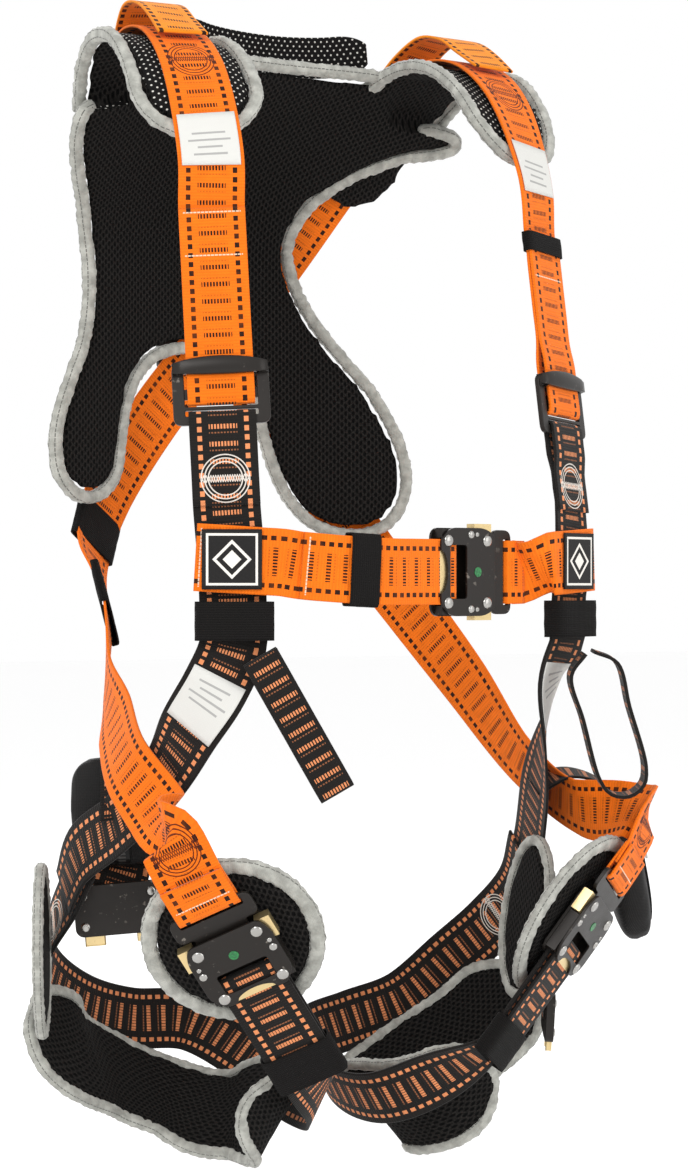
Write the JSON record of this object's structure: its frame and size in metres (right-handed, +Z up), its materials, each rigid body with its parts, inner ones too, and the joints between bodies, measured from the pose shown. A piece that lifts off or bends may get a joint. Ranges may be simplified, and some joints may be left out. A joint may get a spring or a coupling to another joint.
{
  "type": "safety harness",
  "caption": "Full-body fall-arrest harness with padded yoke, dorsal ring, chest strap, leg straps with release buckles, leg pads and hip pouches.",
  "frame": {"origin": "where the shoulder padding rests on the wearer's shoulders, midway between them", "axes": "+Z up along the wearer's body, -Y the front of the harness, +X the wearer's left"},
  "size_m": [0.4909, 0.3529, 0.8388],
  "materials": {
    "orange_web": "woven polyester webbing, bright orange with black thread marks",
    "black_web": "woven black webbing with orange thread marks",
    "elastic": "black ribbed elastic",
    "patch": "black sewn patch with a white border",
    "label": "white woven label",
    "padding": "black spacer mesh with a grey bound edge",
    "collar": "black fabric with small white dots",
    "pouch": "black woven nylon",
    "brass": "pale brass, brushed",
    "steel": "forged steel, zinc plated",
    "dorsal_plastic": "black moulded plastic",
    "zipper": "black painted zipper metal",
    "satin_black": "satin black coated metal"
  },
  "bodies": {
    "root": {"right_shoulder_web": "orange_web", "right_front_web": "black_web", "right_leg_web": "black_web", "right_adjuster_frame": "satin_black", "right_front_keeper": "elastic", "right_shoulder_loop": "orange_web", "right_chest_patch": "patch", "right_shoulder_label": "label", "right_leg_pad": "padding", "right_buckle_pad": "padding", "right_hip_pad": "padding", "right_hip_pouch": "pouch", "right_relief_buckle": "satin_black", "right_leg_buckle_tongue": "satin_black", "left_shoulder_web": "orange_web", "left_front_web": "black_web", "left_leg_web": "black_web", "left_adjuster_frame": "satin_black", "left_front_keeper": "elastic", "left_shoulder_loop": "orange_web", "left_chest_patch": "patch", "left_shoulder_label": "label", "left_leg_pad": "padding", "left_buckle_pad": "padding", "left_hip_pad": "padding", "left_hip_pouch": "pouch", "left_relief_buckle": "satin_black", "left_leg_buckle_tongue": "satin_black", "right_chest_web": "orange_web", "left_chest_web": "orange_web", "chest_buckle_tongue": "satin_black", "yoke_pad": "padding", "neck_collar": "collar", "dorsal_plate": "dorsal_plastic"},
    "dorsal_ring": {"dorsal_ring": "steel"},
    "chest_buckle": {"chest_buckle_body": "satin_black", "chest_buckle_front_plate": "satin_black"},
    "chest_release_tab_a": {"chest_release_tab_a": "brass"},
    "chest_release_tab_b": {"chest_release_tab_b": "brass"},
    "right_leg_buckle": {"right_leg_buckle_body": "satin_black", "right_leg_buckle_front_plate": "satin_black"},
    "right_leg_release_tab_a": {"right_leg_release_tab_a": "brass"},
    "right_leg_release_tab_b": {"right_leg_release_tab_b": "brass"},
    "left_leg_buckle": {"left_leg_buckle_body": "satin_black", "left_leg_buckle_front_plate": "satin_black"},
    "left_leg_release_tab_a": {"left_leg_release_tab_a": "brass"},
    "left_leg_release_tab_b": {"left_leg_release_tab_b": "brass"},
    "right_adjuster_bar": {"right_adjuster_bar": "satin_black"},
    "right_arrest_loop": {"right_arrest_loop": "black_web"},
    "right_zipper_slider": {"right_zipper_slider": "zipper"},
    "left_adjuster_bar": {"left_adjuster_bar": "satin_black"},
    "left_arrest_loop": {"left_arrest_loop": "black_web"},
    "left_zipper_slider": {"left_zipper_slider": "zipper"},
    "chest_keeper": {"chest_keeper": "elastic"}
  },
  "joints": [
    {"name": "dorsal_ring_swing", "type": "hinge", "parent": "root", "child": "dorsal_ring", "pos_m": [0, 0.166, -0.168], "axis": [1, 0, 0], "range_deg": [0, 150]},
    {"name": "chest_buckle_slide", "type": "slide", "parent": "root", "child": "chest_buckle", "axis": [-0.9755, -0.2201, 0], "range_m": [0, 0.014]},
    {"name": "chest_release_tab_a_press", "type": "slide", "parent": "chest_buckle", "child": "chest_release_tab_a", "axis": [0, 0, 1], "range_m": [0, 0.003]},
    {"name": "chest_release_tab_b_press", "type": "slide", "parent": "chest_buckle", "child": "chest_release_tab_b", "axis": [0, 0, -1], "range_m": [0, 0.003]},
    {"name": "right_leg_buckle_slide", "type": "slide", "parent": "root", "child": "right_leg_buckle", "axis": [0.6004, 0.1501, -0.7855], "range_m": [0, 0.014]},
    {"name": "right_leg_release_tab_a_press", "type": "slide", "parent": "right_leg_buckle", "child": "right_leg_release_tab_a", "axis": [-0.6924, 0.589, -0.4167], "range_m": [0, 0.003]},
    {"name": "right_leg_release_tab_b_press", "type": "slide", "parent": "right_leg_buckle", "child": "right_leg_release_tab_b", "axis": [0.6924, -0.589, 0.4167], "range_m": [0, 0.003]},
    {"name": "left_leg_buckle_slide", "type": "slide", "parent": "root", "child": "left_leg_buckle", "axis": [-0.6004, 0.1501, -0.7855], "range_m": [0, 0.014]},
    {"name": "left_leg_release_tab_a_press", "type": "slide", "parent": "left_leg_buckle", "child": "left_leg_release_tab_a", "axis": [-0.6924, -0.589, 0.4167], "range_m": [0, 0.003]},
    {"name": "left_leg_release_tab_b_press", "type": "slide", "parent": "left_leg_buckle", "child": "left_leg_release_tab_b", "axis": [0.6924, 0.589, -0.4167], "range_m": [0, 0.003]},
    {"name": "right_adjuster_bar_slide", "type": "slide", "parent": "root", "child": "right_adjuster_bar", "axis": [-0.026, -0.153, -0.9879], "range_m": [-0.002, 0.002]},
    {"name": "right_arrest_loop_swing", "type": "hinge", "parent": "root", "child": "right_arrest_loop", "pos_m": [-0.127, -0.152, -0.426], "axis": [-0.3525, -0.9308, -0.0967], "range_deg": [-12, 15]},
    {"name": "right_zipper_slide", "type": "slide", "parent": "root", "child": "right_zipper_slider", "axis": [0.0499, 0, -0.9988], "range_m": [-0.006, 0.02]},
    {"name": "left_adjuster_bar_slide", "type": "slide", "parent": "root", "child": "left_adjuster_bar", "axis": [0.026, -0.153, -0.9879], "range_m": [-0.002, 0.002]},
    {"name": "left_arrest_loop_swing", "type": "hinge", "parent": "root", "child": "left_arrest_loop", "pos_m": [0.143, -0.15, -0.426], "axis": [0.8276, -0.4938, 0.267], "range_deg": [-10, 15]},
    {"name": "left_zipper_slide", "type": "slide", "parent": "root", "child": "left_zipper_slider", "axis": [0.2996, 0.0999, -0.9488], "range_m": [-0.008, 0.03]},
    {"name": "chest_keeper_slide", "type": "slide", "parent": "root", "child": "chest_keeper", "axis": [-0.9987, 0.0158, 0.0476], "range_m": [-0.004, 0.004]}
  ],
  "couplings": [
    {"joint": "chest_release_tab_b_press", "follows": "chest_release_tab_a_press", "ratio": 1},
    {"joint": "right_leg_release_tab_b_press", "follows": "right_leg_release_tab_a_press", "ratio": 1},
    {"joint": "left_leg_release_tab_b_press", "follows": "left_leg_release_tab_a_press", "ratio": 1}
  ]
}
